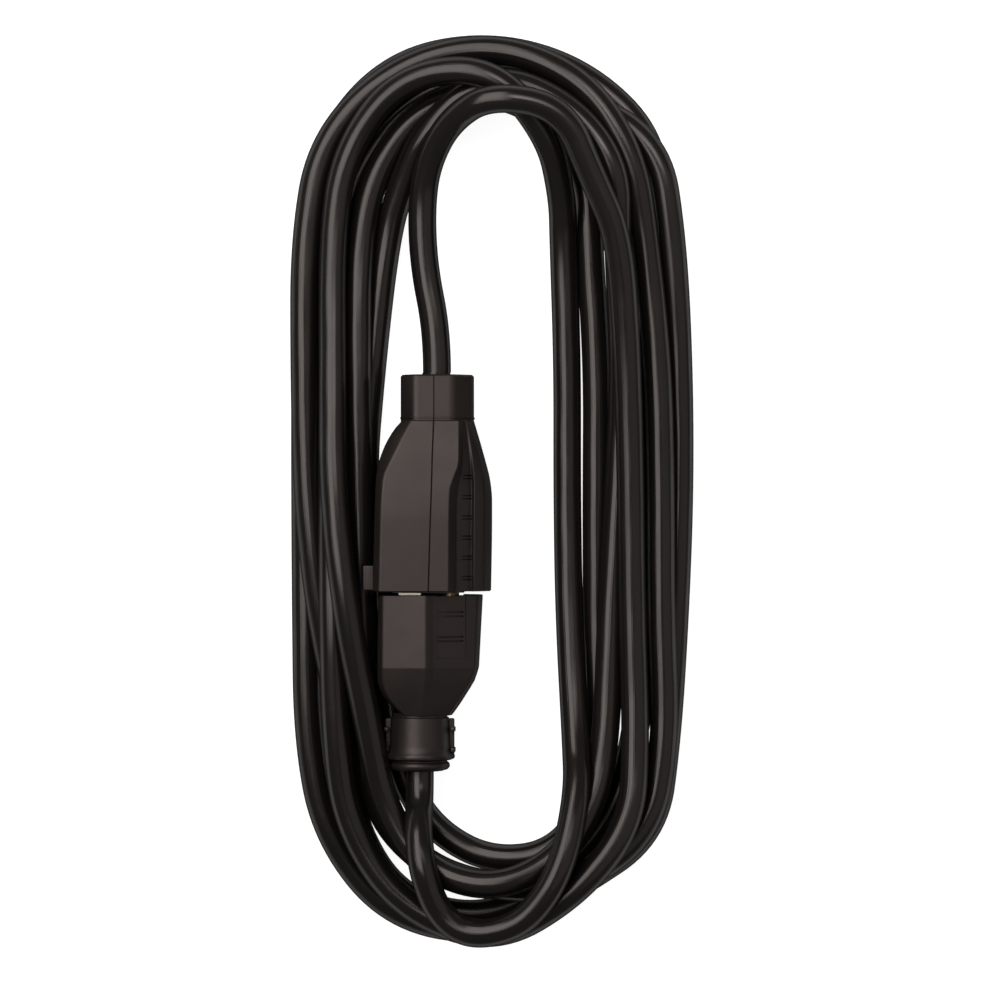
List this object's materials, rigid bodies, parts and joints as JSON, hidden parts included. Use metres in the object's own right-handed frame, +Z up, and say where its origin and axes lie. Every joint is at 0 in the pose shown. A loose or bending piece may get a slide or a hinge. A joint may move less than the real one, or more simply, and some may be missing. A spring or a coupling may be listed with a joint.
{
  "type": "extension cord",
  "caption": "Outdoor extension cord wound as a flat oblong coil, its grounded plug mated to its female connector inside the loop.",
  "frame": {"origin": "on the surface that the cord lies on, under the middle of the mated connector and plug", "axes": "+Y along the coil from the plug towards the female connector, +X to the right across the coil, +Z up"},
  "size_m": [0.1178, 0.2661, 0.028],
  "materials": {
    "jacket": "semi-gloss black PVC jacket",
    "moulding": "satin black moulded PVC",
    "block": "smooth dark nylon",
    "blade_brass": "rolled brass, satin",
    "contact_brass": "stamped brass sheet, satin",
    "copper_strand": "bare copper strands, bright",
    "hot_insulation": "black PVC",
    "neutral_insulation": "white PVC",
    "ground_insulation": "green PVC"
  },
  "bodies": {
    "cord_and_plug": {"plug_body": "moulding", "plug_strain_relief": "moulding", "plug_blade_bridge": "block", "plug_hot_blade": "blade_brass", "plug_neutral_blade": "blade_brass", "plug_ground_pin": "blade_brass", "plug_hot_insulation": "hot_insulation", "plug_neutral_insulation": "neutral_insulation", "plug_ground_insulation": "ground_insulation", "plug_hot_copper": "copper_strand", "plug_neutral_copper": "copper_strand", "plug_ground_copper": "copper_strand", "plug_jacket_end": "jacket", "cord_coil": "jacket", "connector_lead": "jacket", "plug_lead": "jacket"},
    "connector": {"connector_body": "moulding", "connector_collar": "moulding", "connector_contact_block": "block", "connector_hot_contact": "contact_brass", "connector_neutral_contact": "contact_brass", "connector_ground_contact": "contact_brass", "connector_hot_insulation": "hot_insulation", "connector_neutral_insulation": "neutral_insulation", "connector_ground_insulation": "ground_insulation", "connector_hot_copper": "copper_strand", "connector_neutral_copper": "copper_strand", "connector_ground_copper": "copper_strand", "connector_jacket_end": "jacket"}
  },
  "joints": [
    {"name": "connector_pull_off", "type": "slide", "parent": "cord_and_plug", "child": "connector", "axis": [0, 1, 0], "range_m": [-0.0009, 0.0215], "deforming": ["connector_lead"]}
  ]
}
